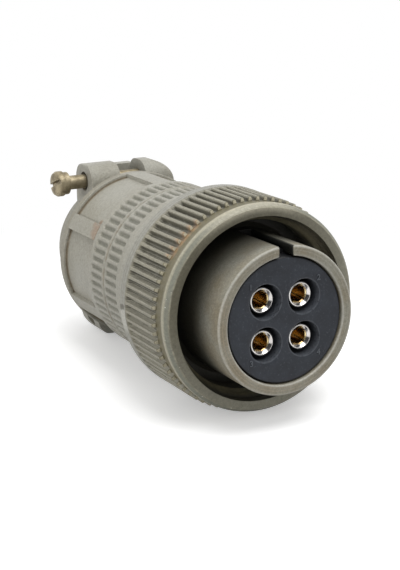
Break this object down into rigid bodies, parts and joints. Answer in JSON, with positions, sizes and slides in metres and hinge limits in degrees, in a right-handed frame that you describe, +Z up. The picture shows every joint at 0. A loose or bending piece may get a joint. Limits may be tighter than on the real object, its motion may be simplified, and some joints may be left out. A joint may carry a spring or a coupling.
{
  "type": "circular cable plug connector",
  "caption": "Straight circular cable plug with a knurled coupling nut, recessed socket contacts, a backshell and a two-saddle strain-relief clamp.",
  "frame": {"origin": "on the plug's axis, in the plane of the barrel's front edge, where the plug meets its receptacle", "axes": "+Y along the axis from the mating face to the cable; +Z up through the keyway and the upper clamp screw; +X to the right seen from the front"},
  "size_m": [0.034, 0.0638, 0.034],
  "materials": {
    "olive_finish": "dull olive-drab conversion coating over aluminium, satin, worn at the knurl",
    "grey_finish": "dull grey-olive conversion coating over aluminium, satin",
    "insulator": "blue-black moulded insulator, satin",
    "gold_plated": "gold-plated copper alloy, polished",
    "bright_steel": "bright stainless steel",
    "zinc_yellow_steel": "yellow-passivated zinc-plated steel"
  },
  "bodies": {
    "shell": {"barrel": "olive_finish", "insert_front": "insulator", "insert_rear": "insulator", "insert_retaining_ring": "bright_steel", "contact_1": "gold_plated", "contact_2": "gold_plated", "contact_3": "gold_plated", "contact_4": "gold_plated", "contact_hood_1": "bright_steel", "contact_hood_2": "bright_steel", "contact_hood_3": "bright_steel", "contact_hood_4": "bright_steel", "backshell": "grey_finish", "clamp_body": "grey_finish"},
    "nut_ring": {"nut_retaining_ring": "grey_finish"},
    "coupling_nut": {"coupling_nut": "olive_finish"},
    "saddle_left": {"saddle_left": "grey_finish"},
    "saddle_right": {"saddle_right": "grey_finish"},
    "washer_top": {"lock_washer_top": "zinc_yellow_steel"},
    "screw_top": {"clamp_screw_top": "zinc_yellow_steel"},
    "washer_bottom": {"lock_washer_bottom": "zinc_yellow_steel"},
    "screw_bottom": {"clamp_screw_bottom": "zinc_yellow_steel"}
  },
  "joints": [
    {"name": "nut_float", "type": "slide", "parent": "shell", "child": "nut_ring", "axis": [0, 1, 0], "range_m": [-0.003, 0]},
    {"name": "nut_turn", "type": "hinge", "parent": "nut_ring", "child": "coupling_nut", "pos_m": [0, 0.0165, 0], "axis": [0, -1, 0], "continuous": true},
    {"name": "saddle_left_close", "type": "slide", "parent": "shell", "child": "saddle_left", "axis": [1, 0, 0], "range_m": [0, 0.0016]},
    {"name": "saddle_right_close", "type": "slide", "parent": "shell", "child": "saddle_right", "axis": [-1, 0, 0], "range_m": [0, 0.0016]},
    {"name": "washer_top_travel", "type": "slide", "parent": "saddle_right", "child": "washer_top", "axis": [1, 0, 0], "range_m": [0, 0.0031]},
    {"name": "screw_top_turn", "type": "hinge", "parent": "washer_top", "child": "screw_top", "pos_m": [-0.011, 0.05772, 0.01285], "axis": [1, 0, 0], "range_deg": [0, 2480]},
    {"name": "washer_bottom_travel", "type": "slide", "parent": "saddle_left", "child": "washer_bottom", "axis": [-1, 0, 0], "range_m": [0, 0.0031]},
    {"name": "screw_bottom_turn", "type": "hinge", "parent": "washer_bottom", "child": "screw_bottom", "pos_m": [0.012, 0.05772, -0.01285], "axis": [-1, 0, 0], "range_deg": [0, 2480]}
  ],
  "couplings": [
    {"joint": "saddle_right_close", "follows": "saddle_left_close", "ratio": 1},
    {"joint": "screw_top_turn", "follows": "washer_top_travel", "rad_per_m": 13963},
    {"joint": "screw_bottom_turn", "follows": "washer_bottom_travel", "rad_per_m": 13963}
  ]
}
